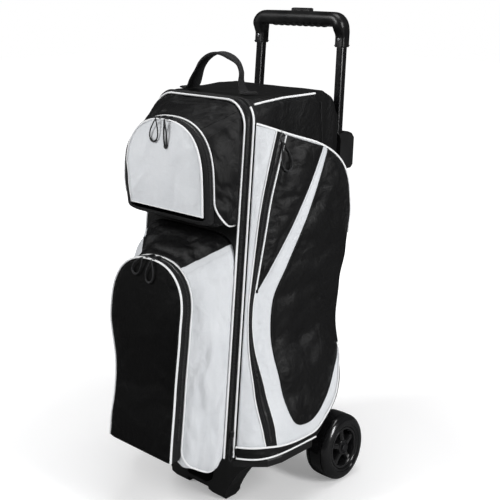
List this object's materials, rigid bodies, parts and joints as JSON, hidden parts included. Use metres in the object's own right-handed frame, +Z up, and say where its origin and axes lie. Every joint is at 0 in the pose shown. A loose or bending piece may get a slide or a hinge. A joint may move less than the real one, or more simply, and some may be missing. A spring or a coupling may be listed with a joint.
{
  "type": "bowling ball bag",
  "caption": "Upright wheeled bag that stacks bowling balls behind a zipped door, with shoe and accessory pockets, side pockets, carry strap and telescoping handle.",
  "frame": {"origin": "on the ground, under the middle of the bag's outer box", "axes": "+Z up; -Y towards the front, where the door and pockets are; +X to the right as seen from the front, along the wheel axle"},
  "size_m": [0.393, 0.4962, 0.9566],
  "materials": {
    "black_fabric": "matt woven",
    "panel_fabric": "matt woven, white and black panels",
    "white_fabric": "matt dotted weave",
    "zip_tape": "ribbed zip tape",
    "webbing": "ribbed webbing",
    "zip_metal": "satin black",
    "pull_cord": "braided cord",
    "foam": "matt foam",
    "board": "matt",
    "moulded_black": "fine grain",
    "grip_plastic": "soft touch",
    "button_plastic": "satin",
    "black_tube": "gloss black",
    "steel_tube": "plain",
    "bright_steel": "bright",
    "wheel_tread": "glossy",
    "hub_plastic": "gloss"
  },
  "bodies": {
    "bag": {"main_shell": "black_fabric", "back_board": "board", "ball_cup_floor": "foam", "ball_divider_lower": "foam", "ball_divider_upper": "foam", "main_zip_track": "zip_tape", "side_pocket_left": "panel_fabric", "side_pocket_right": "panel_fabric", "carry_strap": "webbing", "base_tray": "moulded_black", "front_stand": "moulded_black", "axle_carrier_left": "moulded_black", "axle_carrier_right": "moulded_black", "wheel_axle": "bright_steel", "axle_nut_left": "bright_steel", "axle_nut_right": "bright_steel", "back_panel": "black_fabric", "kick_plate": "moulded_black", "handle_collar": "moulded_black", "guide_tube_left": "steel_tube", "guide_tube_right": "steel_tube"},
    "handle": {"handle_tube_left": "black_tube", "handle_tube_right": "black_tube", "grip_socket_left": "grip_plastic", "grip_socket_right": "grip_plastic", "grip_rivet_left": "bright_steel", "grip_rivet_right": "bright_steel", "grip": "grip_plastic"},
    "handle_button": {"release_button": "button_plastic", "lock_rod_left": "bright_steel", "lock_rod_right": "bright_steel"},
    "wheel_left": {"wheel_tyre_left": "wheel_tread", "wheel_hub_left": "hub_plastic", "bearing_left_inner": "bright_steel", "bearing_left_outer": "bright_steel"},
    "wheel_right": {"wheel_tyre_right": "wheel_tread", "wheel_hub_right": "hub_plastic", "bearing_right_inner": "bright_steel", "bearing_right_outer": "bright_steel"},
    "door": {"main_door": "black_fabric", "shoe_pocket": "panel_fabric", "accessory_pocket": "panel_fabric"},
    "shoe_cover": {"shoe_flap": "black_fabric"},
    "accessory_cover": {"accessory_flap": "white_fabric"},
    "shoe_zip_left_slider_body": {"shoe_zip_left_slider": "zip_metal"},
    "shoe_zip_left_pull_body": {"shoe_zip_left_pull": "pull_cord"},
    "accessory_zip_left_slider_body": {"accessory_zip_left_slider": "zip_metal"},
    "accessory_zip_left_pull_body": {"accessory_zip_left_pull": "pull_cord"},
    "main_zip_left_slider_body": {"main_zip_left_slider": "zip_metal"},
    "main_zip_left_pull_body": {"main_zip_left_pull": "pull_cord"},
    "side_zip_left_slider_body": {"side_zip_left_slider": "zip_metal"},
    "side_zip_left_pull_body": {"side_zip_left_pull": "pull_cord"},
    "shoe_zip_right_slider_body": {"shoe_zip_right_slider": "zip_metal"},
    "shoe_zip_right_pull_body": {"shoe_zip_right_pull": "pull_cord"},
    "accessory_zip_right_slider_body": {"accessory_zip_right_slider": "zip_metal"},
    "accessory_zip_right_pull_body": {"accessory_zip_right_pull": "pull_cord"},
    "main_zip_right_slider_body": {"main_zip_right_slider": "zip_metal"},
    "main_zip_right_pull_body": {"main_zip_right_pull": "pull_cord"},
    "side_zip_right_slider_body": {"side_zip_right_slider": "zip_metal"},
    "side_zip_right_pull_body": {"side_zip_right_pull": "pull_cord"}
  },
  "joints": [
    {"name": "handle_slide", "type": "slide", "parent": "bag", "child": "handle", "axis": [0, 0.0912, 0.9958], "range_m": [-0.172, 0]},
    {"name": "release_button_press", "type": "slide", "parent": "handle", "child": "handle_button", "axis": [0, -0.0912, -0.9958], "range_m": [0, 0.003], "stiffness_N_per_m": 1500, "springref_m": -0.003},
    {"name": "wheel_left_spin", "type": "hinge", "parent": "bag", "child": "wheel_left", "pos_m": [-0.1655, 0.1397, 0.0635], "axis": [1, 0, 0], "continuous": true},
    {"name": "wheel_right_spin", "type": "hinge", "parent": "bag", "child": "wheel_right", "pos_m": [0.1655, 0.1397, 0.0635], "axis": [1, 0, 0], "continuous": true},
    {"name": "main_door_hinge", "type": "hinge", "parent": "bag", "child": "door", "pos_m": [0, -0.1404, 0.119], "axis": [1, 0, 0], "range_deg": [0, 90]},
    {"name": "shoe_flap_hinge", "type": "hinge", "parent": "door", "child": "shoe_cover", "pos_m": [0, -0.24382, 0.13309], "axis": [1, 0, 0], "range_deg": [0, 90]},
    {"name": "accessory_flap_hinge", "type": "hinge", "parent": "door", "child": "accessory_cover", "pos_m": [0, -0.1783, 0.575], "axis": [1, 0, 0], "range_deg": [0, 95]},
    {"name": "shoe_zip_left_run", "type": "hinge", "parent": "shoe_cover", "child": "shoe_zip_left_slider_body", "pos_m": [0, -0.22481, 0.39], "axis": [0, -0.9958, 0.0912], "range_deg": [0, 80]},
    {"name": "shoe_zip_left_pull_swing", "type": "hinge", "parent": "shoe_zip_left_slider_body", "child": "shoe_zip_left_pull_body", "pos_m": [-0.01003, -0.22126, 0.49009], "axis": [-1, 0, 0], "range_deg": [0, 90]},
    {"name": "accessory_zip_left_run", "type": "hinge", "parent": "accessory_cover", "child": "accessory_zip_left_slider_body", "pos_m": [0, -0.1828, 0.642], "axis": [0, -1, 0], "range_deg": [0, 80]},
    {"name": "accessory_zip_left_pull_swing", "type": "hinge", "parent": "accessory_zip_left_slider_body", "child": "accessory_zip_left_pull_body", "pos_m": [-0.01011, -0.1884, 0.75404], "axis": [-1, 0, 0], "range_deg": [0, 90]},
    {"name": "main_zip_left_run", "type": "slide", "parent": "bag", "child": "main_zip_left_slider_body", "axis": [0, 0.0912, 0.9958], "range_m": [0, 0.56]},
    {"name": "main_zip_left_pull_swing", "type": "hinge", "parent": "main_zip_left_slider_body", "child": "main_zip_left_pull_body", "pos_m": [-0.14164, -0.13821, 0.16301], "axis": [-0.7071, 0.7071, 0], "range_deg": [0, 90]},
    {"name": "side_zip_left_run", "type": "slide", "parent": "bag", "child": "side_zip_left_slider_body", "axis": [0.0867, -0.3008, -0.9498], "range_m": [0, 0.085]},
    {"name": "side_zip_left_pull_swing", "type": "hinge", "parent": "side_zip_left_slider_body", "child": "side_zip_left_pull_body", "pos_m": [-0.17743, -0.03138, 0.71222], "axis": [-0.3466, 0.9341, 0.0856], "range_deg": [0, 90]},
    {"name": "shoe_zip_right_run", "type": "hinge", "parent": "shoe_cover", "child": "shoe_zip_right_slider_body", "pos_m": [0, -0.22481, 0.39], "axis": [0, 0.9958, -0.0912], "range_deg": [0, 80]},
    {"name": "shoe_zip_right_pull_swing", "type": "hinge", "parent": "shoe_zip_right_slider_body", "child": "shoe_zip_right_pull_body", "pos_m": [0.01003, -0.22126, 0.49009], "axis": [-1, 0, 0], "range_deg": [0, 90]},
    {"name": "accessory_zip_right_run", "type": "hinge", "parent": "accessory_cover", "child": "accessory_zip_right_slider_body", "pos_m": [0, -0.1828, 0.642], "axis": [0, 1, 0], "range_deg": [0, 80]},
    {"name": "accessory_zip_right_pull_swing", "type": "hinge", "parent": "accessory_zip_right_slider_body", "child": "accessory_zip_right_pull_body", "pos_m": [0.01011, -0.1884, 0.75404], "axis": [-1, 0, 0], "range_deg": [0, 90]},
    {"name": "main_zip_right_run", "type": "slide", "parent": "bag", "child": "main_zip_right_slider_body", "axis": [0, 0.0912, 0.9958], "range_m": [0, 0.56]},
    {"name": "main_zip_right_pull_swing", "type": "hinge", "parent": "main_zip_right_slider_body", "child": "main_zip_right_pull_body", "pos_m": [0.14164, -0.13821, 0.16301], "axis": [-0.7071, -0.7071, 0], "range_deg": [0, 90]},
    {"name": "side_zip_right_run", "type": "slide", "parent": "bag", "child": "side_zip_right_slider_body", "axis": [-0.0867, -0.3008, -0.9498], "range_m": [0, 0.085]},
    {"name": "side_zip_right_pull_swing", "type": "hinge", "parent": "side_zip_right_slider_body", "child": "side_zip_right_pull_body", "pos_m": [0.17743, -0.03138, 0.71222], "axis": [-0.3466, -0.9341, -0.0856], "range_deg": [0, 90]}
  ]
}
